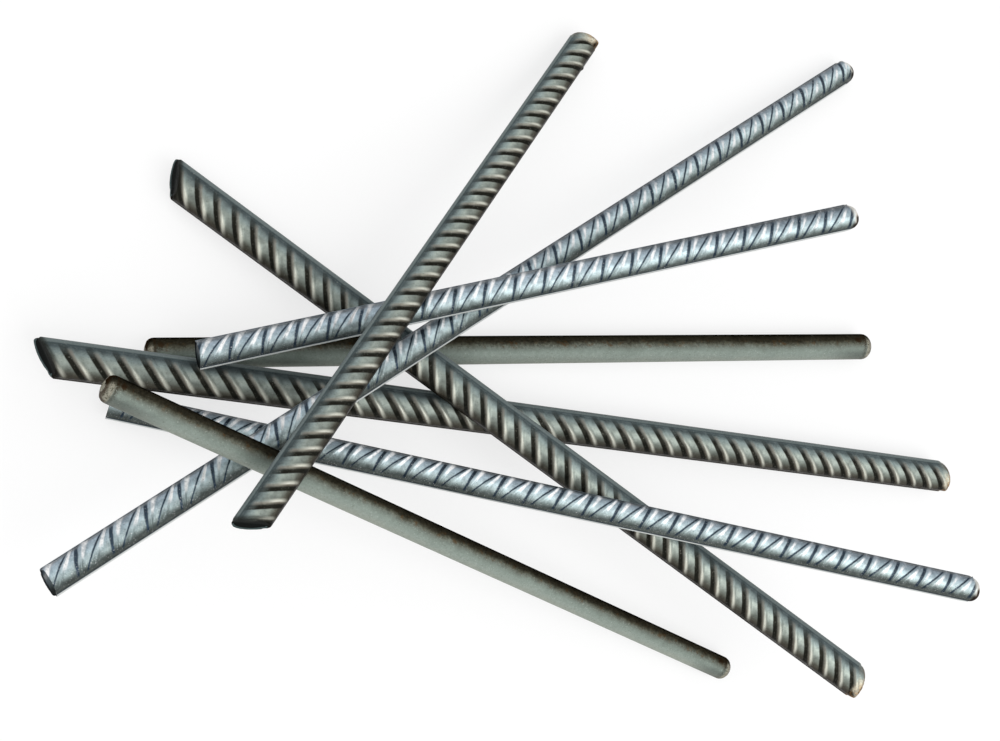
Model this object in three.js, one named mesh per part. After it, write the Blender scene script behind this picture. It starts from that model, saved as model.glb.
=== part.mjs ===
// A loose heap of eight short reinforcing bars, thrown down crosswise on a level floor.
// Millimetres, +Z up. The origin lies on the floor, under the middle of the heap.
// Every bar is straight. It has a near end, at the low X side, and a far end.
// The bars are laid one by one, and each comes to rest on the floor and on the bars under it.

import * as THREE from 'three';

const degrees = Math.PI / 180;

const clearance = 0.3; // between two bars that touch
const facets = 64; // around a bar
const roundingSteps = 5; // along a rounded edge
const settlingPasses = 40; // of lowering and tipping, until a bar lies still

// Round stock. A ribbed bar has two lengthwise ribs, opposite each other. Plain stock has none.
const thickRibbedStock = { diameter: 16, ribHeight: 1, ribWidth: 1.6 };
const mediumRibbedStock = { diameter: 14, ribHeight: 0.9, ribWidth: 1.4 };
const thinRibbedStock = { diameter: 12, ribHeight: 0.6, ribWidth: 1.2 };
const thickPlainStock = { diameter: 14 };
const thinPlainStock = { diameter: 12 };

// How the ends are cut. Skew turns the cut sideways, lean tips its foot outwards, both in degrees,
// and rounding is the radius left on the edge by shearing or wear.
const shearedEnd = { skew: 31, lean: 15, rounding: 0 };
const steepShearedEnd = { skew: 29, lean: 12, rounding: 0 };
const croppedEnd = { skew: 15, lean: 0, rounding: 0.8 };
const chiselledEnd = { skew: -5, lean: 6, rounding: 0 };
const bulletEnd = { skew: 4, lean: 0, rounding: 4.5 };
const thickRoundEnd = { skew: 0, lean: 0, rounding: 4 };
const thinRoundEnd = { skew: 0, lean: 0, rounding: 3.5 };

const darkSteel = { color: 0x5e625a, roughness: 0.5, metalness: 0.7 };
const blueSteel = { color: 0x8794a0, roughness: 0.42, metalness: 0.75 };
const greySteel = { color: 0x75776b, roughness: 0.6, metalness: 0.6 };

// Each bar's middle is its place on the floor plan and heading its direction there, counterclockwise
// from +X. Load is where its own weight and the bars upon it press it down, as a share of its length
// off its middle, towards the far end. Roll turns the left one of its lengthwise ribs up from the
// bar's side.
const thickPlainBar = {
  name: 'thick_plain_bar', stock: thickPlainStock, steel: greySteel,
  length: 390.5, middleX: -2.4, middleY: 5.8, heading: 0.8, load: 0,
  nearEnd: thickRoundEnd, farEnd: thickRoundEnd,
};
const thickRibbedBar1 = {
  name: 'thick_ribbed_bar_1', stock: thickRibbedStock, steel: darkSteel,
  length: 489, middleX: 0.96, middleY: -31.9, heading: -7.7, load: 0, roll: 25,
  nearEnd: shearedEnd, farEnd: croppedEnd,
};
const thickRibbedBar2 = {
  name: 'thick_ribbed_bar_2', stock: thickRibbedStock, steel: darkSteel,
  length: 413.5, middleX: -19.7, middleY: -39.7, heading: -36.4, load: -0.1, roll: 35,
  nearEnd: shearedEnd, farEnd: croppedEnd,
};
const thinRibbedBar1 = {
  name: 'thin_ribbed_bar_1', stock: thinRibbedStock, steel: blueSteel,
  length: 426.8, middleX: -9.3, middleY: -66.9, heading: -13, load: 0, roll: -17,
  nearEnd: chiselledEnd, farEnd: bulletEnd,
};
const thinRibbedBar2 = {
  name: 'thin_ribbed_bar_2', stock: thinRibbedStock, steel: blueSteel,
  length: 496.5, middleX: -30.5, middleY: 35.8, heading: 30.6, load: 0, roll: -25,
  nearEnd: chiselledEnd, farEnd: bulletEnd,
};
const thinRibbedBar3 = {
  name: 'thin_ribbed_bar_3', stock: thinRibbedStock, steel: blueSteel,
  length: 326.5, middleX: -20, middleY: 37, heading: 12.5, load: -0.14, roll: -19,
  nearEnd: chiselledEnd, farEnd: bulletEnd,
};
const thinPlainBar = {
  name: 'thin_plain_bar', stock: thinPlainStock, steel: greySteel,
  length: 367.5, middleX: -59.9, middleY: -87, heading: -25, load: 0,
  nearEnd: thinRoundEnd, farEnd: thinRoundEnd,
};
const mediumRibbedBar = {
  name: 'medium_ribbed_bar', stock: mediumRibbedStock, steel: darkSteel,
  length: 307, middleX: -73, middleY: 47.9, heading: 50.8, load: 0, roll: 12,
  nearEnd: steepShearedEnd, farEnd: croppedEnd,
};

// In the order in which they are laid.
const bars = [
  thickPlainBar, thickRibbedBar1, thickRibbedBar2, thinRibbedBar1, thinRibbedBar2,
  thinRibbedBar3, thinPlainBar, mediumRibbedBar,
];

// Closest points of the two segments ab and cd.
function closestPoints([a, b], [c, d]) {
  const along = b.clone().sub(a);
  const across = d.clone().sub(c);
  const offset = a.clone().sub(c);
  const lengthSquared = along.lengthSq();
  const acrossSquared = across.lengthSq();
  const slant = along.dot(across);
  const spread = lengthSquared * acrossSquared - slant * slant;
  let s = (slant * across.dot(offset) - along.dot(offset) * acrossSquared) / spread;
  s = THREE.MathUtils.clamp(s, 0, 1);
  let t = (slant * s + across.dot(offset)) / acrossSquared;
  if (t < 0 || t > 1) {
    t = THREE.MathUtils.clamp(t, 0, 1);
    s = THREE.MathUtils.clamp((slant * t - along.dot(offset)) / lengthSquared, 0, 1);
  }
  return [a.clone().addScaledVector(along, s), c.clone().addScaledVector(across, t)];
}

// Direction of a bar on the floor plan, and in space once its tilt is known.
function planDirection(bar) {
  return new THREE.Vector3(Math.cos(bar.heading * degrees), Math.sin(bar.heading * degrees), 0);
}

function axisDirection(bar) {
  return planDirection(bar).multiplyScalar(Math.cos(bar.tilt)).setZ(Math.sin(bar.tilt));
}

// How far the bar keeps its full section, from its middle towards an end, on its underside.
function fullReach(bar, end) {
  const flat = bar.stock.diameter / 2 - end.rounding;
  return bar.length / 2 - end.rounding + flat * Math.tan(end.lean * degrees);
}

// The axis from the near end to the far end, as far as the bar has its full section.
function axisOf(bar) {
  const middle = new THREE.Vector3(bar.middleX, bar.middleY, bar.height);
  const direction = axisDirection(bar);
  const places = [-fullReach(bar, bar.nearEnd), fullReach(bar, bar.farEnd)];
  return places.map((place) => middle.clone().addScaledVector(direction, place));
}

function planOf(bar) {
  return axisOf({ ...bar, height: 0, tilt: 0 });
}

// Distance that the axes of two touching bars keep.
function reach(bar, other) {
  return (bar.stock.diameter + other.stock.diameter) / 2 + clearance;
}

// The height that the bar's axis needs at one place, measured along the plan from its middle.
function seatOnFloor(bar, side, end) {
  const flat = bar.stock.diameter / 2 - end.rounding;
  const place = side * fullReach(bar, end) * Math.cos(bar.tilt) + flat * Math.sin(bar.tilt);
  return { place, height: flat / Math.cos(bar.tilt) + end.rounding };
}

function seatOnBar(bar, other) {
  const [planPoint] = closestPoints(planOf(bar), planOf(other));
  const middle = new THREE.Vector3(bar.middleX, bar.middleY, 0);
  const place = planPoint.sub(middle).dot(planDirection(bar));
  const [upper, lower] = closestPoints(axisOf(bar), axisOf(other));
  const between = upper.clone().sub(lower);
  const distance = between.length();
  const steepness = Math.max(between.z / distance, 0.2);
  const heightNow = bar.height + place * Math.tan(bar.tilt);
  return { place, height: heightNow + (reach(bar, other) - distance) / steepness };
}

// Lays a bar on the two seats, one on each side of its load, that hold it up highest there.
function layOn(bar, seats) {
  const load = bar.load * bar.length * Math.cos(bar.tilt);
  let highest = -Infinity;
  for (const near of seats.filter((seat) => seat.place <= load)) {
    for (const far of seats.filter((seat) => seat.place > load)) {
      const slope = (far.height - near.height) / (far.place - near.place);
      const heightAtLoad = near.height + slope * (load - near.place);
      if (heightAtLoad > highest) {
        highest = heightAtLoad;
        bar.tilt = Math.atan(slope);
        bar.height = near.height - slope * near.place;
      }
    }
  }
}

// Lets a bar down from above the heap until it lies still.
function settle(bar, laid) {
  bar.tilt = 0;
  bar.height = laid.reduce((sum, other) => sum + other.stock.diameter, bar.stock.diameter);
  const under = laid.filter((other) => {
    const [point, otherPoint] = closestPoints(planOf(bar), planOf(other));
    return point.distanceTo(otherPoint) < reach(bar, other);
  });
  for (let pass = 0; pass < settlingPasses; pass += 1) {
    const floor = [seatOnFloor(bar, -1, bar.nearEnd), seatOnFloor(bar, 1, bar.farEnd)];
    layOn(bar, [...floor, ...under.map((other) => seatOnBar(bar, other))]);
  }
}

// Half the outline of a bar, as radius against height, from the middle of one end to the other.
function outline(bar) {
  const radius = bar.stock.diameter / 2;
  const half = bar.length / 2;
  const points = [new THREE.Vector2(0, -half)];
  if (bar.nearEnd.rounding > 0) {
    const r = bar.nearEnd.rounding;
    points.push(...new THREE.EllipseCurve(radius - r, -half + r, r, r, -Math.PI / 2, 0)
      .getPoints(roundingSteps));
  } else {
    points.push(new THREE.Vector2(radius, -half));
  }
  if (bar.farEnd.rounding > 0) {
    const r = bar.farEnd.rounding;
    points.push(...new THREE.EllipseCurve(radius - r, half - r, r, r, 0, Math.PI / 2)
      .getPoints(roundingSteps));
  } else {
    points.push(new THREE.Vector2(radius, half));
  }
  points.push(new THREE.Vector2(0, half));
  return points;
}

// Height of the lengthwise ribs over the round, at an angle around the bar from its left side.
function ribRise({ stock, roll }, angle) {
  if (!stock.ribHeight) return 0;
  const turned = angle - roll * degrees;
  const fromRib = Math.abs(Math.asin(Math.sin(turned))) * stock.diameter / 2;
  const flank = Math.PI * stock.diameter / facets;
  const beyondCrest = Math.max(fromRib - stock.ribWidth / 2, 0);
  return stock.ribHeight * Math.max(1 - beyondCrest / flank, 0);
}

// A bar along Z, with its side towards +X and its top towards +Y.
function barGeometry(bar) {
  const geometry = new THREE.LatheGeometry(outline(bar), facets);
  geometry.rotateX(Math.PI / 2);
  geometry.rotateZ(Math.PI / facets);
  const radius = bar.stock.diameter / 2;
  const position = geometry.getAttribute('position');
  for (let i = 0; i < position.count; i += 1) {
    let x = position.getX(i);
    let y = position.getY(i);
    const z = position.getZ(i);
    const fromAxis = Math.hypot(x, y);
    if (fromAxis > 0) {
      const stretch = 1 + ribRise(bar, Math.atan2(y, x)) / radius;
      x *= stretch;
      y *= stretch;
    }
    const end = z < 0 ? bar.nearEnd : bar.farEnd;
    const shift = -x * Math.tan(end.skew * degrees) - Math.sign(z) * y * Math.tan(end.lean * degrees);
    position.setXYZ(i, x, y, z + shift);
  }
  geometry.deleteAttribute('normal');
  geometry.deleteAttribute('uv');
  geometry.computeVertexNormals();
  return geometry;
}

function barMesh(bar) {
  const mesh = new THREE.Mesh(barGeometry(bar), new THREE.MeshStandardMaterial(bar.steel));
  const axis = axisDirection(bar);
  const side = new THREE.Vector3(0, 0, 1).cross(planDirection(bar));
  const top = axis.clone().cross(side);
  mesh.name = bar.name;
  mesh.position.set(bar.middleX, bar.middleY, bar.height);
  mesh.quaternion.setFromRotationMatrix(new THREE.Matrix4().makeBasis(side, top, axis));
  return mesh;
}

const heap = new THREE.Group();
bars.forEach((bar, index) => {
  settle(bar, bars.slice(0, index));
  heap.add(barMesh(bar));
});
const extent = new THREE.Box3().setFromObject(heap, true);
const middleOfHeap = extent.getCenter(new THREE.Vector3());
heap.position.set(-middleOfHeap.x, -middleOfHeap.y, -extent.min.z);

export default heap;
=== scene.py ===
# A loose heap of steel reinforcing bars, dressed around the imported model.
# Lengths are in metres and angles in degrees. Every bar is laid where its plain solid lies.

import math

import bmesh
import bpy
import numpy as np
from mathutils import Matrix, Vector


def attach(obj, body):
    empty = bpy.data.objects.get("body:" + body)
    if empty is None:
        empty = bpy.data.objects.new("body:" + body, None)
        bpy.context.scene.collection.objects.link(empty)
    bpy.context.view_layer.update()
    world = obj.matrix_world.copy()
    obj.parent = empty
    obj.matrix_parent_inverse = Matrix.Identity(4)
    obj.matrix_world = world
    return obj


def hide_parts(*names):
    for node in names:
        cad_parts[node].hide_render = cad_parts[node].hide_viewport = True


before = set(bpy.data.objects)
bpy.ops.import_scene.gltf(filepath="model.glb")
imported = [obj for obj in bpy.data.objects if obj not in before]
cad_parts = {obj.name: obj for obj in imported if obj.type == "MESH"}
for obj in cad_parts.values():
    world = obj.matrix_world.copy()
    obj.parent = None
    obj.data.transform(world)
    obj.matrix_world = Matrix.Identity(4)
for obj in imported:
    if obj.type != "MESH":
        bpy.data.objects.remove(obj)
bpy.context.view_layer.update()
print("scene: packed model loaded")


def smooth(low, high, value):  # a soft step, 0 at low and 1 at high
    t = np.clip((value - low) / (high - low), 0.0, 1.0)
    return t * t * (3.0 - 2.0 * t)


def tangent(angle):
    return math.tan(math.radians(angle))


# camera

view = {"target": (-0.02199, -0.00336, 0.0), "distance": 0.7, "tilt": 22, "lens": 50.4, "sensor": 36}


def makeCamera():
    data = bpy.data.cameras.new("camera")
    data.lens = view["lens"]
    data.sensor_width = view["sensor"]
    camera = bpy.data.objects.new("camera", data)
    tilt = math.radians(view["tilt"])
    right = Vector((math.cos(tilt), 0, math.sin(tilt)))
    up = Vector((0, 1, 0))
    back = right.cross(up)
    camera.matrix_world = Matrix.Translation(Vector(view["target"]) + back * view["distance"]) \
        @ Matrix((right, up, back)).transposed().to_4x4()
    bpy.context.scene.collection.objects.link(camera)
    bpy.context.scene.camera = camera


makeCamera()
print("scene: camera placed")


# the stock that the bars are cut from

thickStock = {
    "diameter": 0.016, "sides": 64, "ringStep": 0.0006,
    "ribWidth": 0.0052, "ribHeight": 0.0009,  # the cross ribs
    "sweep": 0.0066, "sweepChange": 0.0, "bend": 0.08,  # their slant along the bar, from side to side
    "firstFade": (14, 30), "lastFade": (24, 60),  # where they rise, from the two lengthwise ribs
    "ribEnd": (0.3, 1.6),  # where they rise from the far end, in roundings
    "ridgeWidth": 0.0020, "ridgeFlank": 0.0012, "ridgeHeight": 0.0010, "ridgeFade": 0.001,  # lengthwise ribs
    "lookTurn": 24, "shadeTurn": 0,  # from the lengthwise rib to the side that the finish starts from
    "nearSkew": 31, "nearLean": 15, "nearRounding": 0.001,
    "farSkew": 15, "farLean": 0, "farRounding": 0.001,
    "rim": 0.0006, "burrs": ((0.018, 150, 0.0007),),  # place from the far end, direction and size
}
mediumStock = dict(
    thickStock, diameter=0.014, ringStep=0.00052, ribWidth=0.0046, ribHeight=0.0008, sweep=0.0058,
    ridgeWidth=0.0018, ridgeFlank=0.0010, ridgeHeight=0.0007, nearSkew=29, nearLean=12)
thinStock = {
    "diameter": 0.012, "sides": 56, "ringStep": 0.00045,
    "ribWidth": 0.0034, "ribHeight": 0.0007,
    "sweep": -0.0042, "sweepChange": 0.0019, "bend": 0.1,
    "firstFade": (16, 34), "lastFade": (14, 30), "ribEnd": (0.3, 1.6),
    "ridgeWidth": 0.0012, "ridgeFlank": 0.0006, "ridgeHeight": 0.0007, "ridgeFade": 0.005,
    "lookTurn": -17, "shadeTurn": 0,
    "nearSkew": -5, "nearLean": 6, "nearRounding": 0.0003,
    "farSkew": 4, "farLean": 0, "farRounding": 0.0045,
    "rim": 0.0004, "burrs": ((0.0022, 210, 0.0005),),
}
thickRod = {
    "diameter": 0.014, "sides": 64, "ringStep": 0.001, "pitch": 0, "roll": 0, "lookTurn": 0, "shadeTurn": 0,
    "nearSkew": 0, "nearLean": 0, "nearRounding": 0.004,
    "farSkew": 0, "farLean": 0, "farRounding": 0.004,
    "rim": 0.0008, "burrs": (),
}
thinRod = dict(thickRod, diameter=0.012, nearRounding=0.0035, farRounding=0.0035)

# roll turns the left lengthwise rib up, and the first cross rib's middle lies firstRib past the near end
bars = {
    "thickRibbedBar1": ("thick_ribbed_bar_1", "dark_ribbed_steel",
                        dict(thickStock, roll=25, pitch=0.01118, firstRib=0.00185)),
    "thickRibbedBar2": ("thick_ribbed_bar_2", "dark_ribbed_steel",
                        dict(thickStock, roll=35, pitch=0.01008, firstRib=0.0057)),
    "mediumRibbedBar": ("medium_ribbed_bar", "dark_ribbed_steel",
                        dict(mediumStock, roll=12, pitch=0.00915, firstRib=0.0004)),
    "thinRibbedBar1": ("thin_ribbed_bar_1", "bright_ribbed_steel",
                       dict(thinStock, roll=-17, pitch=0.00714, firstRib=0.009, sweep=-0.0043)),
    "thinRibbedBar2": ("thin_ribbed_bar_2", "bright_ribbed_steel",
                       dict(thinStock, roll=-25, pitch=0.00818, firstRib=0.0137, sweep=-0.0053,
                            sweepChange=0.0022)),
    "thinRibbedBar3": ("thin_ribbed_bar_3", "bright_ribbed_steel",
                       dict(thinStock, roll=-19, pitch=0.00731, firstRib=0.00095, sweep=-0.0045,
                            shadeTurn=-13)),
    "thickPlainBar": ("thick_plain_bar", "plain_mill_steel", thickRod),
    "thinPlainBar": ("thin_plain_bar", "plain_mill_steel", thinRod),
}


# where a bar lies

def barAxis(node):
    # each half of the plain solid is symmetrical round the axis, so its mean lies on it
    points = np.array([v.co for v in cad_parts[node].data.vertices])
    middle = points.mean(axis=0)
    long = np.linalg.svd(points - middle, full_matrices=False)[2][0]
    long *= math.copysign(1.0, long[0])
    along = (points - middle) @ long
    halves = [points[along < 0], points[along > 0]]
    centres = [half.mean(axis=0) for half in halves]
    direction = centres[1] - centres[0]
    direction /= np.linalg.norm(direction)
    ends = []
    for half in halves:
        offset = half - centres[0]
        fromAxis = np.linalg.norm(offset - np.outer(offset @ direction, direction), axis=1)
        ends.append(half[fromAxis.argmin()])
    return Vector(ends[0]), Vector(ends[1])


def barFrame(near, far):  # left side, top and far end as X, Y and Z
    axis = (far - near).normalized()
    side = Vector((0, 0, 1)).cross(axis).normalized()
    top = axis.cross(side)
    return Matrix.Translation((near + far) / 2) @ Matrix((side, top, axis)).transposed().to_4x4()


axes = {node: (*barAxis(node), look["diameter"] / 2) for node, slotName, look in bars.values()}


# the bars' own forms

form = {
    "swingStart": 0.27,  # of a pitch, before the slant turns over from rib to rib
    "burrSpread": 1.6,  # in its heights
    "cutTolerance": 1e-7, "sunken": 0.4,  # how deep a cut face lies, in widths of its rim
    "faceCorners": 12,  # a polygon with so many corners is a cut face, and stays flat
    "contactGap": 0.00004, "contactPasses": 4,
    "contactFacing": 0.2,  # the least cosine between outwards and the way to what is touched
}


def tube(look, length):  # a closed round of radius 1 along Z, with rings all the way
    rings = round(length / look["ringStep"])
    bm = bmesh.new()
    bmesh.ops.create_cone(bm, cap_ends=True, cap_tris=False, segments=look["sides"],
                          radius1=1.0, radius2=1.0, depth=length)
    alongEdges = [e for e in bm.edges if abs(e.verts[0].co.z - e.verts[1].co.z) > length / 2]
    bmesh.ops.subdivide_edges(bm, edges=alongEdges, cuts=rings - 1, use_grid_fill=True)
    return bm


def raiseRibs(look, turned, z, length):
    # cross ribs on both sides, offset by half a pitch, between the two lengthwise ribs
    radius, pitch = look["diameter"] / 2, look["pitch"]
    fromFarEnd = length / 2 - z
    across = -np.cos(turned)
    place = z + length / 2 - look["firstRib"] + np.where(np.sin(turned) < 0, pitch / 2, 0.0)
    phase = place / pitch
    fromCrest = np.abs((phase + 0.5) % 1.0 - 0.5) * pitch / (look["ribWidth"] / 2)
    fromRidge = np.degrees(np.arcsin(np.clip(np.abs(np.sin(turned)), 0, 1)))
    first = np.cos(turned) * np.sin(turned) > 0  # the lengthwise rib that a cross rib comes close to
    fade = np.where(first, smooth(*look["firstFade"], fromRidge), smooth(*look["lastFade"], fromRidge))
    start, full = (share * look["farRounding"] for share in look["ribEnd"])
    fade = fade * smooth(start, full, fromFarEnd)
    surface = radius + look["ribHeight"] * (1.0 - smooth(0.0, 1.0, fromCrest)) * fade
    crown = look["ridgeWidth"] / 2
    ridge = 1.0 - smooth(crown, crown + look["ridgeFlank"], np.radians(fromRidge) * radius)
    ridge = ridge * smooth(0.0, look["ridgeFade"], fromFarEnd)
    surface = np.maximum(surface, radius + look["ridgeHeight"] * ridge)
    middle = -math.sin(math.radians(look["lookTurn"]))  # across where firstRib is measured
    lean = across - middle - look["bend"] * (across ** 2 - middle ** 2)
    swing = look["sweepChange"] * np.cos(math.pi * (phase + form["swingStart"]))
    return surface, phase, ridge, z + look["sweep"] * lean + swing * across


def raiseBurrs(look, surface, turned, fromFar):  # little lumps left by the shear
    for fromEnd, direction, size in look["burrs"]:
        away = np.angle(np.exp(1j * (turned - math.radians(direction)))) * look["diameter"] / 2
        spread = form["burrSpread"] * size
        surface = surface + size * np.exp(-((fromFar - fromEnd) ** 2 + away ** 2) / spread ** 2)
    return surface


def roundEnds(look, surface, fromNear, fromFar):
    for distance, rounding in ((fromNear, look["nearRounding"]), (fromFar, look["farRounding"])):
        left = np.clip(rounding - distance, 0.0, rounding)
        drop = rounding - np.sqrt(rounding ** 2 - left ** 2)
        surface = surface * (1.0 - drop / (look["diameter"] / 2))
    return surface


def pressIn(node, surface, laid, angle, z):
    # ribs give way to the floor, and to a crossing bar half way between the two rounds
    core = axes[node][2]
    turn = np.array(laid.to_3x3())
    outwards = np.column_stack((np.cos(angle), np.sin(angle), np.zeros(len(z)))) @ turn.T
    onAxis = np.array(laid.translation) + np.outer(z, turn[:, 2])
    down = np.maximum(-outwards[:, 2], form["contactFacing"])
    lowest = np.where(-outwards[:, 2] < form["contactFacing"], np.inf, onAxis[:, 2] / down)
    surface = np.minimum(surface, np.maximum(lowest, core))
    for near, far, radius in (axis for other, axis in axes.items() if other != node):
        direction = np.array((far - near).normalized())
        for _ in range(form["contactPasses"]):
            offset = onAxis + outwards * surface[:, None] - np.array(near)
            along = offset @ direction
            offset -= np.outer(along, direction)
            distance = np.linalg.norm(offset, axis=1)
            facing = -np.einsum("ij,ij->i", outwards, offset) / distance
            excess = (surface - core) - (distance - radius) + form["contactGap"] / 2
            beside = (along > 0) & (along < (far - near).length) & (facing > form["contactFacing"])
            less = np.maximum(surface - excess / (1.0 + np.abs(facing)), core)
            surface = np.where(beside & (excess > 0), np.minimum(surface, less), surface)
    return surface


def cutEnd(bm, centre, outwards, inset):  # a flat cut with a slightly sunken face
    geometry = list(bm.verts) + list(bm.edges) + list(bm.faces)
    cut = bmesh.ops.bisect_plane(bm, geom=geometry, dist=form["cutTolerance"], plane_co=centre,
                                 plane_no=outwards, clear_outer=True)
    rim = [e for e in cut["geom_cut"] if isinstance(e, bmesh.types.BMEdge)]
    face = bmesh.ops.edgeloop_fill(bm, edges=rim)["faces"]
    bmesh.ops.inset_region(bm, faces=face, thickness=inset, depth=-inset * form["sunken"],
                           use_even_offset=True)
    return face[0]


def cutEnds(bm, look, length, layers):
    near = Vector((-tangent(look["nearSkew"]), tangent(look["nearLean"]), -1))
    far = Vector((tangent(look["farSkew"]), tangent(look["farLean"]), 1))
    faces = [cutEnd(bm, Vector((0, 0, -length / 2)), near, look["rim"]),
             cutEnd(bm, Vector((0, 0, length / 2)), far, look["rim"])]
    for face in faces:  # takes its values from the rim, and is marked as cut
        inner = set(face.verts)
        for v in inner:
            rim = next(e.other_vert(v) for e in v.link_edges if e.other_vert(v) not in inner)
            for layer in layers.values():
                v[layer] = rim[layer]
            v[layers["cut"]] = 1.0


def finishBar(name, bm, place):
    bmesh.ops.recalc_face_normals(bm, faces=bm.faces)
    bm.transform(place)
    mesh = bpy.data.meshes.new(name)
    bm.to_mesh(mesh)
    bm.free()
    for polygon in mesh.polygons:
        polygon.use_smooth = len(polygon.vertices) < form["faceCorners"]
    piece = bpy.data.objects.new(name, mesh)
    bpy.context.scene.collection.objects.link(piece)
    return piece


def makeBar(name, node, look):
    near, far, radius = axes[node]
    laid = barFrame(near, far)
    length = (far - near).length
    spare = look["diameter"]  # cut off again at the ends
    bm = tube(look, length + 2 * spare)
    layers = {key: bm.verts.layers.float.new(key) for key in
              ("ribSine", "ribCosine", "steep", "ridge", "sideways", "upward", "fromNear", "fromFar", "cut")}
    verts = list(bm.verts)
    co = np.array([v.co for v in verts])
    angle, z = np.arctan2(co[:, 1], co[:, 0]), co[:, 2]
    turned = angle - math.radians(look["roll"])  # from one lengthwise rib round to the other
    if look["pitch"]:
        surface, phase, ridge, z = raiseRibs(look, turned, z, length)
    else:
        surface, phase, ridge = np.full(len(verts), radius), np.zeros(len(verts)), np.zeros(len(verts))

    # distance from the two cuts, along the bar
    side, top = radius * np.cos(angle), radius * np.sin(angle)
    nearCut = -length / 2 - side * tangent(look["nearSkew"]) + top * tangent(look["nearLean"])
    farCut = length / 2 - side * tangent(look["farSkew"]) - top * tangent(look["farLean"])
    fromNear, fromFar = z - nearCut, farCut - z
    surface = raiseBurrs(look, surface, turned, fromFar)
    surface = roundEnds(look, surface, fromNear, fromFar)
    surface = pressIn(node, surface, laid, angle, z)

    shown = turned + math.radians(look["lookTurn"] + look["shadeTurn"])
    values = {"ribSine": np.sin(2 * math.pi * phase), "ribCosine": np.cos(2 * math.pi * phase),
              "steep": np.cos(math.pi * phase),  # above 0 by every second rib
              "ridge": ridge, "sideways": np.cos(shown), "upward": np.sin(shown),
              "fromNear": fromNear, "fromFar": fromFar, "cut": np.zeros(len(verts))}
    for i, v in enumerate(verts):
        v.co = (surface[i] * math.cos(angle[i]), surface[i] * math.sin(angle[i]), z[i])
        for key, layer in layers.items():
            v[layer] = values[key][i]
    cutEnds(bm, look, length, layers)
    return finishBar(name, bm, laid)


# shader nodes

def addNode(tree, kind, values=(), **settings):
    node = tree.nodes.new(kind)
    for key, value in settings.items():
        setattr(node, key, value)
    for key, value in dict(values).items():
        if isinstance(value, bpy.types.NodeSocket):
            tree.links.new(value, node.inputs[key])
        else:
            node.inputs[key].default_value = value
    return node


def attribute(tree, name):
    return addNode(tree, "ShaderNodeAttribute", attribute_name=name).outputs["Fac"]


def objectPlace(tree):
    return addNode(tree, "ShaderNodeTexCoord").outputs["Object"]


def ramp(tree, value, low, high, start=0.0, end=1.0):  # a soft step from start to end
    return addNode(tree, "ShaderNodeMapRange", {"Value": value, "From Min": low, "From Max": high,
                                                "To Min": start, "To Max": end},
                   interpolation_type="SMOOTHSTEP").outputs["Result"]


def calculate(tree, operation, *values):
    return addNode(tree, "ShaderNodeMath", dict(enumerate(values)), operation=operation).outputs[0]


def multiply(tree, *values):
    product = values[0]
    for value in values[1:]:
        product = calculate(tree, "MULTIPLY", product, value)
    return product


def largest(tree, first, *others):
    for value in others:
        first = calculate(tree, "MAXIMUM", value, first)
    return first


mixInputs, mixOutput = (0, 6, 7), 2  # the colour sockets by place, because the node repeats their names


def blendColours(tree, share, first, second):
    node = addNode(tree, "ShaderNodeMix", data_type="RGBA")
    for index, value in zip(mixInputs, (share, first, second)):
        if isinstance(value, bpy.types.NodeSocket):
            tree.links.new(value, node.inputs[index])
        else:
            node.inputs[index].default_value = value
    return node.outputs[mixOutput]


def scaleColour(tree, colour, factor):
    return addNode(tree, "ShaderNodeVectorMath", {0: colour, "Scale": factor}, operation="SCALE").outputs[0]


def noise(tree, place, scale, detail, roughness=0.5):
    return addNode(tree, "ShaderNodeTexNoise", {"Vector": place, "Scale": scale, "Detail": detail,
                                                "Roughness": roughness}).outputs["Fac"]


def shade(red, green, blue):  # a colour as it looks, 0 to 255, made linear
    def linear(value):
        value /= 255
        return value / 12.92 if value <= 0.04045 else ((value + 0.055) / 1.055) ** 2.4
    return (linear(red), linear(green), linear(blue), 1.0)


def bands(tree, value, stops):  # colours at places from -1 to 1, the two ends first
    node = addNode(tree, "ShaderNodeValToRGB", {"Fac": calculate(tree, "MULTIPLY_ADD", value, 0.5, 0.5)})
    elements = node.color_ramp.elements
    for index, (place, colour) in enumerate(stops):
        element = elements[index] if index < 2 else elements.new(0.5 + place / 2)
        element.position = 0.5 + place / 2
        element.color = colour
    return node.outputs["Color"]


# effects that the finishes share

effects = {
    "wanderNoise": (240, 3.0),  # a noise is its scale, its detail and, unless it is 0.5, its roughness
    "speckNoise": (3.0, 0.6), "cloudNoise": (5.0, 0.62),  # without the scale, which the finish gives
    "lightSpecks": (0.60, 0.72), "darkSpecks": (0.42, 0.30),  # spans, where soft steps start and end
    "rustNoise": (420, 4.0, 0.65), "rustSpan": (0.38, 0.56),
    "rustHueNoise": (900, 3.0), "rustHueSpan": (0.4, 0.62),
    "darkRust": shade(70, 48, 30), "lightRust": shade(176, 134, 78),
}


def newGroup(name, inputs, outputs):
    tree = bpy.data.node_groups.new(name, "ShaderNodeTree")
    for socketName, value in inputs.items():
        socket = tree.interface.new_socket(socketName, in_out="INPUT", socket_type="NodeSocketFloat")
        socket.default_value = value
    for socketName, kind in outputs.items():
        tree.interface.new_socket(socketName, in_out="OUTPUT", socket_type="NodeSocket" + kind)
    return tree, tree.nodes.new("NodeGroupInput").outputs, tree.nodes.new("NodeGroupOutput").inputs


def placeGroup(tree, group, **values):
    node = tree.nodes.new("ShaderNodeGroup")
    node.node_tree = group
    for key, value in values.items():
        socket = node.inputs[key.replace("_", " ")]
        if isinstance(value, bpy.types.NodeSocket):
            tree.links.new(value, socket)
        else:
            socket.default_value = value
    return node.outputs


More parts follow.
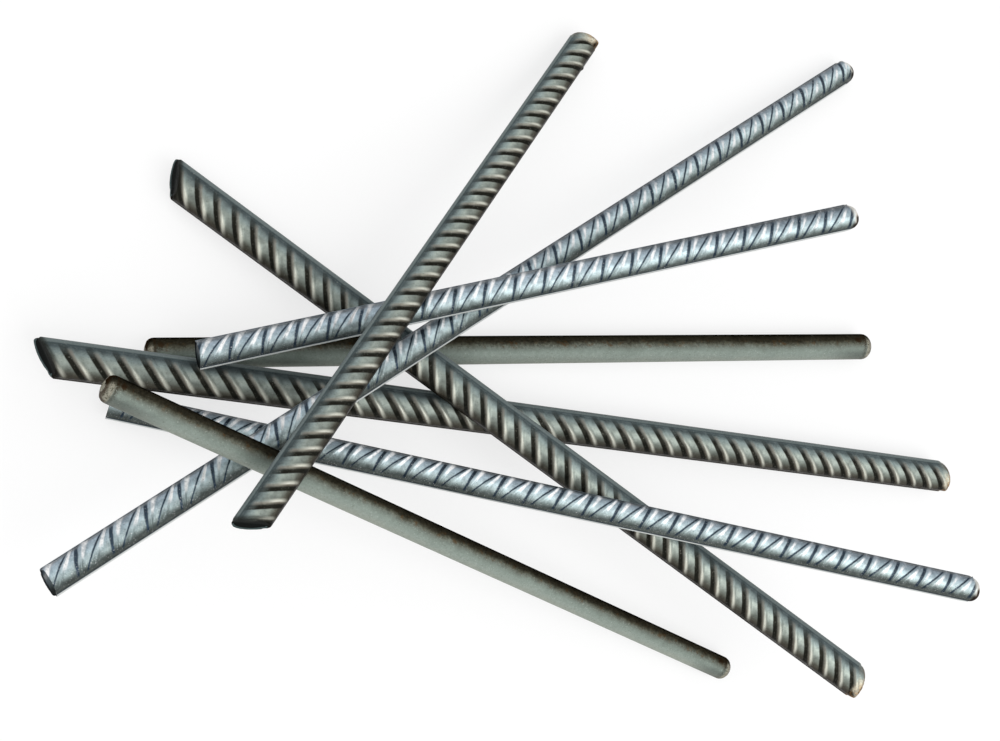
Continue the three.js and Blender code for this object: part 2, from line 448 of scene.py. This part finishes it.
def makeRibPhase():  # where a point lies between two cross ribs, 0 on a crest
    tree, given, result = newGroup("ribPhase", {"Wander": 0.05}, {"Phase": "Float", "Steep": "Float"})
    turn = calculate(tree, "ARCTAN2", attribute(tree, "ribSine"), attribute(tree, "ribCosine"))
    wander = calculate(tree, "SUBTRACT", noise(tree, objectPlace(tree), *effects["wanderNoise"]), 0.5)
    phase = calculate(tree, "ADD", calculate(tree, "DIVIDE", turn, 2 * math.pi),
                      calculate(tree, "MULTIPLY", wander, given["Wander"]))
    tree.links.new(phase, result["Phase"])
    tree.links.new(calculate(tree, "GREATER_THAN", attribute(tree, "steep"), 0.0), result["Steep"])
    return tree


def makeRibStripe():  # a stripe along the ribs, from Start to End
    tree, given, result = newGroup(
        "ribStripe",
        {"Phase": 0.0, "Start": -0.1, "End": 0.1, "Start Softness": 0.03, "End Softness": 0.03},
        {"Stripe": "Float"})

    def edge(name, low, high):
        soft = given[name + " Softness"]
        return ramp(tree, given["Phase"], calculate(tree, "SUBTRACT", given[name], soft),
                    calculate(tree, "ADD", given[name], soft), low, high)

    both = calculate(tree, "MULTIPLY", edge("Start", 0.0, 1.0), edge("End", 1.0, 0.0))
    tree.links.new(both, result["Stripe"])
    return tree


def makeMillGrain():  # fine specks and cloudy patches of rolled steel
    tree, given, result = newGroup(
        "millGrain", {"Speck Size": 1400.0, "Cloud Size": 120.0},
        {"Light Specks": "Float", "Dark Specks": "Float", "Cloud": "Float", "Grain": "Float"})
    place = objectPlace(tree)
    grain = noise(tree, place, given["Speck Size"], *effects["speckNoise"])
    tree.links.new(ramp(tree, grain, *effects["lightSpecks"]), result["Light Specks"])
    tree.links.new(ramp(tree, grain, *effects["darkSpecks"]), result["Dark Specks"])
    tree.links.new(noise(tree, place, given["Cloud Size"], *effects["cloudNoise"]), result["Cloud"])
    tree.links.new(grain, result["Grain"])
    return tree


def makeTipRust():  # rust and burnt colour that fades away from an end
    tree, given, result = newGroup("tipRust", {"Distance": 0.0, "Reach": 0.004},
                                   {"Rust": "Float", "Colour": "Color"})
    place = objectPlace(tree)
    near = ramp(tree, given["Distance"], given["Reach"], 0.0)
    patches = ramp(tree, noise(tree, place, *effects["rustNoise"]), *effects["rustSpan"])
    hue = ramp(tree, noise(tree, place, *effects["rustHueNoise"]), *effects["rustHueSpan"])
    tree.links.new(multiply(tree, near, patches), result["Rust"])
    tree.links.new(blendColours(tree, hue, effects["darkRust"], effects["lightRust"]), result["Colour"])
    return tree


ribPhase, ribStripe, millGrain, tipRust = makeRibPhase(), makeRibStripe(), makeMillGrain(), makeTipRust()


# coats: each lays a colour where its stripe and its soft steps over some fields let it show

def stripe(tree, value, start, end, startSoftness, endSoftness):
    return placeGroup(tree, ribStripe, Phase=value, Start=start, End=end, Start_Softness=startSoftness,
                      End_Softness=endSoftness)["Stripe"]


def showing(tree, fields, coat):  # the share of a coat that shows; a field without limits counts as it is
    parts = [ramp(tree, fields[name], *limits) if limits else fields[name] for name, *limits in coat["steps"]]
    if "stripe" in coat:
        name, *limits = coat["stripe"]
        parts.insert(0, stripe(tree, fields[name], *limits))
    if "amount" in coat:
        parts.append(coat["amount"])
    return multiply(tree, *parts)


def darken(tree, fields, colour, coat):
    left = calculate(tree, "SUBTRACT", 1.0, showing(tree, fields, coat))
    return scaleColour(tree, colour, left)


def layCoats(tree, fields, colours, colour, coats):  # in their order, and the share of each
    shares = {}
    for name, coat in coats.items():
        shares[name] = showing(tree, fields, coat)
        colour = blendColours(tree, shares[name], colour, colours[coat["colour"]])
    return colour, shares


# what the finishes have in common

surfaceLook = {
    "cloudRoughness": 0.3, "dullRoughness": 0.8, "grainDepth": 0.0002,
    "leastSquare": 0.02,  # so that nothing is divided by zero at a face's sides
}


def newFinish(name, look):
    material = bpy.data.materials.new(name)
    material.use_nodes = True
    shader = material.node_tree.nodes["Principled BSDF"].inputs
    shader["Specular IOR Level"].default_value = look["specular"]
    shader["Specular Tint"].default_value = look["edgeTint"]
    return material, material.node_tree, shader


def readFields(tree, look):  # what is known of a point on any bar
    grain = placeGroup(tree, millGrain, Speck_Size=look["speckSize"], Cloud_Size=look["cloudSize"])
    fields = {name: attribute(tree, name) for name in ("sideways", "upward", "fromNear", "fromFar", "cut")}
    fields.update(cloud=grain["Cloud"], grain=grain["Grain"], darkSpecks=grain["Dark Specks"],
                  lightSpecks=grain["Light Specks"])
    return fields


def acrossFace(tree, fields):  # on a cut face, -1 at its low edge and 1 at its high one
    square = calculate(tree, "MULTIPLY", fields["sideways"], fields["sideways"])
    rest = calculate(tree, "MAXIMUM", calculate(tree, "SUBTRACT", 1.0, square), surfaceLook["leastSquare"])
    return calculate(tree, "DIVIDE", fields["upward"], calculate(tree, "SQRT", rest))


def readRibFields(tree, look):  # what is known of a point on a ribbed bar, and the colours laid on it
    fields = readFields(tree, look)
    rib = placeGroup(tree, ribPhase, Wander=look["wander"])
    tip = placeGroup(tree, tipRust, Distance=fields["fromFar"], Reach=look["rustReach"])
    nearCut = multiply(tree, fields["cut"], ramp(tree, fields["fromNear"], *look["nearSpan"]))
    fields.update(phase=rib["Phase"], steep=rib["Steep"], ridge=attribute(tree, "ridge"), tipRust=tip["Rust"],
                  face=ramp(tree, nearCut, *look["faceSpan"]), height=acrossFace(tree, fields))
    return fields, dict(look["colours"], tipRust=tip["Colour"])


def finishSurface(tree, shader, look, fields, colour, dull):  # dull is 1 where nothing shines
    tree.links.new(colour, shader["Base Color"])
    spread = surfaceLook["cloudRoughness"]
    rough = calculate(tree, "MULTIPLY_ADD", fields["cloud"], spread, look["roughness"] - spread / 2)
    rough = largest(tree, rough, multiply(tree, dull, surfaceLook["dullRoughness"]))
    tree.links.new(rough, shader["Roughness"])
    tree.links.new(ramp(tree, dull, 0.0, 1.0, look["metallic"], 1.0), shader["Metallic"])
    bump = addNode(tree, "ShaderNodeBump", {"Height": fields["grain"], "Strength": look["relief"],
                                            "Distance": surfaceLook["grainDepth"]})
    tree.links.new(bump.outputs["Normal"], shader["Normal"])


# ribbed steel: sideways and upward run from -1 to 1 round a bar, and phase from rib to rib

ribbedSteel = {
    "metallic": 0.35, "clouds": (0.25, 0.75, 0.7, 1.3), "rustReach": 0.006, "shadowDullness": 0.5,
    "nearSpan": (0.02, 0.01),  # over fromNear, so that only the near end's face counts as cut
}

darkSteel = {
    **ribbedSteel,
    "roughness": 0.4, "specular": 0.1, "edgeTint": (0.3, 0.3, 0.3, 1), "relief": 0.25,
    "speckSize": 1500.0, "cloudSize": 190.0, "wander": 0.06, "faceSpan": (0.05, 0.3),
    "ridgeSide": (0.3, 0.6),  # over sideways, where only the left lengthwise rib stands out
    "shadedCutDullness": 0.7,
    # round: painted shade across the bar, lightest just above the middle, darker towards both edges and
    # darkest at the bottom
    "round": ((-1.0, shade(40, 34, 26)), (1.0, shade(96, 104, 104)), (-0.86, shade(58, 54, 45)),
              (-0.66, shade(84, 84, 76)), (-0.46, shade(116, 122, 114)), (-0.22, shade(138, 146, 139)),
              (0.1, shade(164, 174, 166)), (0.38, shade(144, 158, 156)), (0.68, shade(86, 98, 100))),
    "colours": {
        "shadow": shade(34, 34, 29), "brown": shade(116, 104, 92), "highlightAndSpeck": shade(224, 224, 210),
        "ridge": shade(108, 118, 118), "ridgeFoot": shade(62, 74, 76), "cutFace": shade(30, 33, 32),
        "rim": shade(88, 102, 102), "tipHighlight": shade(236, 228, 204), "tipTan": shade(150, 114, 72)},
    "nearShade": {"steps": (("fromNear", 0.3, 0.02), ("sideways", -0.45, 0.1)), "amount": 0.25},
    "coats": {
        # a brownish tint laid as painted half shade on each rib's flank, between its painted shadow and its
        # painted highlight
        "brownHalfShade": {"colour": "brown", "stripe": ("phase", -0.22, -0.02, 0.06, 0.07),
                      "steps": (("sideways", -0.9, -0.5), ("sideways", 0.7, 0.4)), "amount": 0.6},
        # painted highlight on each rib's crest, on the lower half of the bar; its colour also serves the
        # light specks
        "paintedHighlight": {"colour": "highlightAndSpeck", "stripe": ("phase", -0.04, 0.11, 0.06, 0.09),
                  "steps": (("sideways", 0.2, -0.42, 0.0, 0.8), ("sideways", -0.95, -0.5))},
        "shadow": {"colour": "shadow", "stripe": ("phase", -0.43, -0.15, 0.035, 0.08),
                   "steps": (("sideways", 1.05, 0.2, 0.1, 1.0), ("sideways", -1.0, -0.84, 0.3, 1.0))},
        # painted shade in the crease at the foot of the left lengthwise rib
        "ridgeFoot": {"colour": "ridgeFoot", "steps": (("ridge", 0.0, 0.25, 0.0, 0.6),)},
        "ridge": {"colour": "ridge", "steps": (("ridge", 0.35, 0.8),)},
        "darkSpecks": {"colour": "shadow", "steps": (("darkSpecks",),), "amount": 0.35},
        "lightSpecks": {"colour": "highlightAndSpeck", "steps": (("lightSpecks",),), "amount": 0.14},
        # painted shade darkening the last few millimetres before the near cut
        "shadedEnd": {"colour": "shadow", "steps": (("fromNear", 0.0028, 0.0002, 0.0, 0.8),)},
        # painted highlight on the rounded far tip, broken up by the grain, more on the lower side
        "tipHighlight": {"colour": "tipHighlight",
                     "steps": (("fromFar", 0.006, 0.0035), ("grain", 0.38, 0.6, 0.3, 1.0),
                               ("fromFar", 0.0002, 0.0012), ("sideways", 0.5, -0.3, 0.1, 0.85),
                               ("sideways", -0.75, -0.5))},
        "tipTan": {"colour": "tipTan",
                   "steps": (("fromFar", 0.0018, 0.0006), ("sideways", 0.6, -0.4, 0.25, 0.75))},
        "tipRust": {"colour": "tipRust", "steps": (("tipRust",), ("sideways", 0.4, -0.5, 0.15, 0.8))},
        # painted shade: the near cut face nearly black, darkest towards its low edge
        "cutFace": {"colour": "cutFace", "steps": (("face",), ("height", 0.9, -0.1, 0.45, 1.0))},
        "rim": {"colour": "rim", "steps": (("face",), ("height", -0.8, -0.92))},
    },
}


def makeDarkSteel(look):
    material, tree, shader = newFinish("darkRibbedSteel", look)
    fields, colours = readRibFields(tree, look)
    ridgeSide = ramp(tree, fields["sideways"], *look["ridgeSide"])
    fields["ridge"] = multiply(tree, fields["ridge"], ridgeSide)

    colour = bands(tree, fields["sideways"], look["round"])
    colour = scaleColour(tree, colour, ramp(tree, fields["cloud"], *look["clouds"]))
    colour = darken(tree, fields, colour, look["nearShade"])
    colour, shares = layCoats(tree, fields, colours, colour, look["coats"])

    # the painted shade at the near end and on the cut face is made dull
    shadedCutDull = multiply(tree, largest(tree, shares["shadedEnd"], shares["cutFace"]), look["shadedCutDullness"])
    dull = largest(tree, shadedCutDull, multiply(tree, shares["shadow"], look["shadowDullness"]))
    finishSurface(tree, shader, look, fields, colour, dull)
    return material


brightSteel = {
    **ribbedSteel,
    "roughness": 0.34, "specular": 0.15, "edgeTint": (0.4, 0.4, 0.4, 1), "relief": 0.3,
    "speckSize": 1700.0, "cloudSize": 300.0, "wander": 0.08, "faceSpan": (0.02, 0.3),
    "tipDullness": 0.8,
    # round: painted shade across the bar, lightest just above the middle and darker towards the bottom and
    # the top edge
    "round": ((-1.0, shade(70, 74, 72)), (1.0, shade(126, 134, 140)), (-0.86, shade(84, 90, 86)),
              (-0.62, shade(90, 98, 96)), (-0.44, shade(124, 136, 134)), (-0.22, shade(166, 182, 182)),
              (0.1, shade(202, 221, 225)), (0.45, shade(196, 217, 227)), (0.8, shade(184, 202, 216))),
    "colours": {
        "shadow": shade(38, 52, 66), "highlightAndSpeck": shade(252, 252, 252), "blush": shade(204, 196, 196),
        "fleck": shade(56, 62, 62), "ridgeSide": shade(206, 210, 208), "ridgeTop": shade(150, 162, 170),
        "faceHigh": shade(48, 56, 62), "faceLow": shade(20, 23, 25), "rim": shade(20, 25, 28),
        "shadedEnd": shade(36, 26, 22), "tipHighlight": shade(244, 242, 234), "tipTan": shade(168, 130, 92)},
    "ridgeSpan": (-0.5, 0.5), "faceLowSpan": (0.0, -0.7),  # over sideways, from one colour to the other
    "endShade": (0.03, 0.2, 0.64, 0.88),  # over fromNear, and so is the painted highlight's drop
    "topShade": {"steps": (("fromNear", 0.1, 0.28), ("sideways", 0.1, 0.9)), "amount": 0.55},
    "highlightStart": 0.03, "highlightEnd": (0.27, 0.2), "highlightSoftness": (0.06, 0.05),  # the painted highlight's stripe, which ends sooner on steep ribs
    "highlightDrop": (0.15, 0.4, 0.0, 0.4),
    "shadowMiddle": -0.27, "shadowSoftness": (0.04, 0.045),
    "steepHalf": (0.5, -0.5, 0.115, 0.075),  # half the shadow's width by steep ribs, over sideways
    "flatHalf": (-0.2, 0.6, 0.06, 0.085),
    "wider": {"steps": (("fromNear", 0.12, 0.3, 0.0, 0.024), ("sideways", 0.6, -0.1))},
    # painted shade in dark brown round the far tip, on its lower side
    "shadedTip": ({"steps": (("fromFar", 0.0062, 0.0036), ("sideways", -0.2, -0.6))},
                 {"steps": (("fromFar", 0.0038, 0.0022), ("sideways", 0.35, -0.05))}),
    "coats": {
        "blush": {"colour": "blush", "stripe": ("phase", -0.1, 0.3, 0.06, 0.08),
                  "steps": (("cloud", 0.45, 0.62), ("sideways", 0.02, 0.4)), "amount": 0.15},
        # painted highlights: a white streak past each rib's crest, lower on the bar further from the near
        # end, and a smaller glint further along; their colour also serves the light specks
        "paintedHighlight": {"colour": "highlightAndSpeck", "steps": (("highlightStripe",), ("lowered", 0.0, 0.4),
                                                ("lowered", 1.15, 0.75), ("cloud", 0.3, 0.55, 0.35, 1.0))},
        "glint": {"colour": "highlightAndSpeck", "stripe": ("phase", 0.5, 0.62, 0.05, 0.05),
                  "steps": (("sideways", -0.6, -0.2), ("sideways", 0.4, 0.1),
                            ("steep", 0.0, 1.0, 0.25, 0.5))},
        "shadow": {"colour": "shadow", "steps": (("shadowStripe",), ("sideways", 1.05, 0.8, 0.3, 0.95),
                                                 ("sideways", -0.88, -0.6))},
        "darkSpecks": {"colour": "fleck", "steps": (("darkSpecks",), ("sideways", 0.0, -0.5, 0.5, 0.7),
                                                    ("sideways", -0.95, -0.85))},
        "lightSpecks": {"colour": "highlightAndSpeck", "steps": (("lightSpecks",),), "amount": 0.45},
        "ridgeFoot": {"colour": "shadow", "steps": (("ridge", 0.1, 0.6, 0.0, 0.7),)},
        "ridge": {"colour": "ridge", "steps": (("ridge", 0.6, 0.9),)},
        # painted highlight on the rounded far tip, except at its bottom
        "tipHighlight": {"colour": "tipHighlight", "steps": (("fromFar", 0.005, 0.003), ("sideways", -0.8, -0.3)),
                     "amount": 0.7},
        "tipTan": {"colour": "tipTan",
                   "steps": (("fromFar", 0.0034, 0.002), ("sideways", 0.7, -0.2, 0.1, 0.7))},
        "tipRust": {"colour": "tipRust", "steps": (("tipRust",), ("sideways", 0.3, -0.6, 0.0, 0.6))},
        "shadedEnd": {"colour": "shadedEnd", "steps": (("shadedTip",),), "amount": 0.92},
        # painted shade: the near cut face dark, darker towards its low side, with a near-black line along its
        # low edge
        "cutFace": {"colour": "face", "steps": (("face",),), "amount": 0.75},
        "rim": {"colour": "rim", "steps": (("face",), ("height", -0.45, -0.7)), "amount": 0.9},
    },
}


def shadowHalf(tree, look, fields):  # half the width of the shadow beside a rib
    steep = fields["steep"]
    wide = ramp(tree, fields["sideways"], *look["steepHalf"])
    narrow = ramp(tree, fields["sideways"], *look["flatHalf"])
    half = calculate(tree, "ADD", multiply(tree, steep, wide),
                     multiply(tree, calculate(tree, "SUBTRACT", 1.0, steep), narrow))
    return calculate(tree, "ADD", half, showing(tree, fields, look["wider"]))


def makeBrightSteel(look):
    material, tree, shader = newFinish("brightRibbedSteel", look)
    fields, colours = readRibFields(tree, look)
    sideways, fromNear, phase = fields["sideways"], fields["fromNear"], fields["phase"]
    half = shadowHalf(tree, look, fields)
    fields["shadowStripe"] = stripe(tree, phase, calculate(tree, "SUBTRACT", look["shadowMiddle"], half),
                                    calculate(tree, "ADD", look["shadowMiddle"], half),
                                    *look["shadowSoftness"])
    highlightEnd = ramp(tree, fields["steep"], 0.0, 1.0, *look["highlightEnd"])
    fields["highlightStripe"] = stripe(tree, phase, look["highlightStart"], highlightEnd, *look["highlightSoftness"])
    fields["lowered"] = calculate(tree, "ADD", sideways, ramp(tree, fromNear, *look["highlightDrop"]))
    fields["shadedTip"] = largest(tree, *(showing(tree, fields, part) for part in look["shadedTip"]))
    colours["ridge"] = blendColours(tree, ramp(tree, sideways, *look["ridgeSpan"]), colours["ridgeSide"],
                                    colours["ridgeTop"])
    colours["face"] = blendColours(tree, ramp(tree, sideways, *look["faceLowSpan"]), colours["faceHigh"],
                                   colours["faceLow"])

    colour = bands(tree, sideways, look["round"])
    colour = scaleColour(tree, colour, ramp(tree, fields["cloud"], *look["clouds"]))
    colour = scaleColour(tree, colour, ramp(tree, fromNear, *look["endShade"]))
    colour = darken(tree, fields, colour, look["topShade"])
    colour, shares = layCoats(tree, fields, colours, colour, look["coats"])

    tip = multiply(tree, largest(tree, shares["shadedEnd"], fields["face"]), look["tipDullness"])
    dull = largest(tree, tip, multiply(tree, shares["shadow"], look["shadowDullness"]))
    finishSurface(tree, shader, look, fields, colour, dull)
    return material


# plain mill steel

millSteel = {
    "metallic": 0.1, "roughness": 0.5, "specular": 0.08, "edgeTint": (0.3, 0.3, 0.3, 1), "relief": 0.35,
    "speckSize": 1500.0, "cloudSize": 110.0,
    # round: painted shade, light underneath and darkening to near black on the upper side
    "round": ((-1.0, shade(150, 156, 146)), (1.0, shade(16, 14, 9)), (-0.6, shade(142, 152, 144)),
              (-0.3, shade(130, 141, 133)), (-0.02, shade(114, 123, 115)), (0.16, shade(103, 108, 99)),
              (0.34, shade(80, 81, 70)), (0.54, shade(62, 59, 48)), (0.86, shade(46, 43, 34))),
    "colours": {
        "fleck": shade(84, 82, 68), "speck": shade(226, 230, 220), "capLight": shade(156, 152, 138),
        "pit": shade(52, 38, 24), "rust": shade(84, 64, 40), "edge": shade(12, 10, 7)},
    "fray": (0.6, 0.5),  # of the painted shade's edge, by the clouds and by a slow noise
    "slowNoise": (11, 2.0), "fraySpan": (1.0, 0.8), "shadedSideFoot": (-0.35, 0.15, 0.1, 1.0),
    "shadedSideDullness": (0.2, 0.6, 0.0, 0.95),
    "mottleNoise": (700, 5.0, 0.7), "mottle": (0.3, 0.7, -1.0, 1.0), "mottleSide": (-0.1, 0.4, 0.08, 0.42),
    "rustNoise": (260, 4.0, 0.7), "rustSpan": (0.52, 0.68),
    "capNoise": (1100, 3.0, 0.7), "capSpan": (0.36, 0.56),
    "farShare": 0.65,  # marks lie further in at the far end
    "pitPlace": 0.0062, "pitSide": 0.5, "pitSize": 0.0022, "pitFray": (0.3, 0.7, 0.7, 1.5),
    "pitStretch": 0.0065,  # metres round the bar for one of sideways
    "coats": {
        # painted shade: a near-black line along the upper side
        "edge": {"colour": "edge", "steps": (("sideways", 0.86, 0.97), ("upward", -0.1, 0.1)),
                 "amount": 0.85},
        "rust": {"colour": "rust", "stripe": ("sideways", 0.1, 0.62, 0.14, 0.1),
                 "steps": (("rustPatches",),), "amount": 0.7},
        "darkSpecks": {"colour": "fleck", "steps": (("darkSpecks",),), "amount": 0.4},
        "lightSpecks": {"colour": "speck",
                        "steps": (("lightSpecks",), ("sideways", 0.5, 0.1, 0.05, 0.25))},
    },
    # painted shade on the lower side near both ends
    "lowEndShade": {"steps": (("sideways", -0.1, -0.6), ("fromEnd", 0.034, 0.008)), "amount": 0.48},
    # painted shade outlining both ends
    "outline": ({"steps": (("fromEnd", 0.0012, 0.0003),)},
                {"steps": (("fromFar", 0.0024, 0.0012),)},
                {"steps": (("marked", 0.0036, 0.002), ("edgeways", 0.84, 0.97))}),
    "endCoats": {
        "cap": {"colour": "cap", "steps": (("marked", 0.0034, 0.00255), ("ragged", 0.75, 0.35)),
                "amount": 0.85},
        "capFoot": {"colour": "pit", "stripe": ("marked", 0.00323, 0.00425, 0.0005, 0.0012),
                    "steps": (("grain", 0.66, 0.46), ("sideways", -0.9, 0.2, 0.45, 0.95))},
        "pit": {"colour": "pit", "steps": (("fromPit", 1.0, 1 / 3, 0.0, 0.9),)},
        # painted shade round the ends, in the pit's dark brown
        "outline": {"colour": "pit", "steps": (("outline",), ("cut", 0.3, 0.0)), "amount": 0.85},
    },
}


def raggedSide(tree, look, fields):  # sideways with a frayed edge, where the painted shade darkens the upper side
    fromClouds, fromSlow = look["fray"]
    cloud = calculate(tree, "SUBTRACT", fields["cloud"], 0.5)
    slow = calculate(tree, "SUBTRACT", noise(tree, objectPlace(tree), *look["slowNoise"]), 0.5)
    fray = calculate(tree, "ADD", multiply(tree, cloud, fromClouds), multiply(tree, slow, fromSlow))
    fraying = ramp(tree, fields["sideways"], *look["fraySpan"])
    ragged = calculate(tree, "MULTIPLY_ADD", fray, fraying, fields["sideways"])
    return calculate(tree, "MINIMUM", ragged, ramp(tree, fields["upward"], *look["shadedSideFoot"]))


def fromPit(tree, look, fields):  # distance from a pit near each end, in pit sizes
    aside = calculate(tree, "SUBTRACT", fields["sideways"], look["pitSide"])
    offset = addNode(tree, "ShaderNodeCombineXYZ", {
        "X": calculate(tree, "SUBTRACT", fields["marked"], look["pitPlace"]),
        "Y": multiply(tree, aside, look["pitStretch"])})
    reach = addNode(tree, "ShaderNodeVectorMath", {0: offset.outputs[0]}, operation="LENGTH").outputs["Value"]
    reach = multiply(tree, reach, ramp(tree, fields["grain"], *look["pitFray"]))
    return calculate(tree, "DIVIDE", reach, look["pitSize"])


def makeMillSteel(look):
    material, tree, shader = newFinish("plainMillSteel", look)
    fields, colours = readFields(tree, look), dict(look["colours"])
    sideways, fromNear, fromFar = fields["sideways"], fields["fromNear"], fields["fromFar"]
    place = objectPlace(tree)
    fields["ragged"] = raggedSide(tree, look, fields)
    fields["edgeways"] = calculate(tree, "ABSOLUTE", sideways)
    fields["rustPatches"] = ramp(tree, noise(tree, place, *look["rustNoise"]), *look["rustSpan"])
    fields["fromEnd"] = calculate(tree, "MINIMUM", fromNear, fromFar)
    fields["marked"] = calculate(tree, "MINIMUM", fromNear, multiply(tree, fromFar, look["farShare"]))
    fields["fromPit"] = fromPit(tree, look, fields)
    fields["outline"] = largest(tree, *(showing(tree, fields, part) for part in look["outline"]))
    capPatches = ramp(tree, noise(tree, place, *look["capNoise"]), *look["capSpan"])
    colours["cap"] = blendColours(tree, capPatches, colours["fleck"], colours["capLight"])

    colour = bands(tree, fields["ragged"], look["round"])
    mottle = ramp(tree, noise(tree, place, *look["mottleNoise"]), *look["mottle"])
    mottle = multiply(tree, mottle, ramp(tree, sideways, *look["mottleSide"]))
    colour = scaleColour(tree, colour, calculate(tree, "ADD", mottle, 1.0))
    colour, _ = layCoats(tree, fields, colours, colour, look["coats"])
    colour = darken(tree, fields, colour, look["lowEndShade"])
    colour, _ = layCoats(tree, fields, colours, colour, look["endCoats"])
    dull = ramp(tree, fields["ragged"], *look["shadedSideDullness"])
    finishSurface(tree, shader, look, fields, colour, dull)
    return material


finishes = {
    "dark_ribbed_steel": makeDarkSteel(darkSteel),
    "bright_ribbed_steel": makeBrightSteel(brightSteel),
    "plain_mill_steel": makeMillSteel(millSteel),
}
print("scene: finishes made")
for name, (node, slotName, look) in bars.items():
    piece = makeBar(name, node, look)
    piece.data.materials.append(finishes[slotName])
    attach(piece, "root")
    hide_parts(node)
    print("scene:", name, len(piece.data.polygons), "faces")
print("scene: bars made")


# floor and light

stage = {
    "floorSize": 40.0, "floorColour": (0.93, 0.93, 0.93, 1), "floorRoughness": 0.9,
    "paleShare": 0.7, "paleColour": (1, 1, 1, 1),
    "worldColour": (1, 1, 1, 1), "ambient": 0.7,
    "lamps": {"keyLight": {"place": (0.5, -0.5, 1.3), "size": 1.2, "power": 11},
              "fillLight": {"place": (-0.8, 0.6, 1.1), "size": 1.4, "power": 5}},
}


def makeFloor():
    bm = bmesh.new()
    bmesh.ops.create_grid(bm, x_segments=1, y_segments=1, size=stage["floorSize"] / 2)
    mesh = bpy.data.meshes.new("floor")
    bm.to_mesh(mesh)
    bm.free()
    floor = bpy.data.objects.new("floor", mesh)
    bpy.context.scene.collection.objects.link(floor)
    material = bpy.data.materials.new("paleFloor")
    material.use_nodes = True
    tree = material.node_tree
    shader = tree.nodes["Principled BSDF"]
    shader.inputs["Base Color"].default_value = stage["floorColour"]
    shader.inputs["Roughness"].default_value = stage["floorRoughness"]
    # seen straight or in a reflection the floor is nearly white, and still holds some shadow
    path = addNode(tree, "ShaderNodeLightPath").outputs
    seen = largest(tree, path["Is Camera Ray"], path["Is Glossy Ray"])
    pale = addNode(tree, "ShaderNodeEmission", {"Color": stage["paleColour"]})
    mix = addNode(tree, "ShaderNodeMixShader", {0: multiply(tree, seen, stage["paleShare"]),
                                                1: shader.outputs[0], 2: pale.outputs[0]})
    tree.links.new(mix.outputs[0], tree.nodes["Material Output"].inputs["Surface"])
    floor.data.materials.append(material)


def lightWorld():
    world = bpy.data.worlds.new("softWorld")
    bpy.context.scene.world = world
    world.use_nodes = True
    background = world.node_tree.nodes["Background"].inputs
    background["Color"].default_value = stage["worldColour"]
    background["Strength"].default_value = stage["ambient"]


def areaLight(name, place, size, power):  # faces the middle of the heap
    data = bpy.data.lights.new(name, "AREA")
    data.size = size
    data.energy = power
    lamp = bpy.data.objects.new(name, data)
    lamp.location = place
    lamp.rotation_euler = Vector(place).to_track_quat("Z", "Y").to_euler()
    bpy.context.scene.collection.objects.link(lamp)


makeFloor()
lightWorld()
for name, lamp in stage["lamps"].items():
    areaLight(name, **lamp)
bpy.context.scene.view_settings.view_transform = "Standard"
print("scene: stage ready")
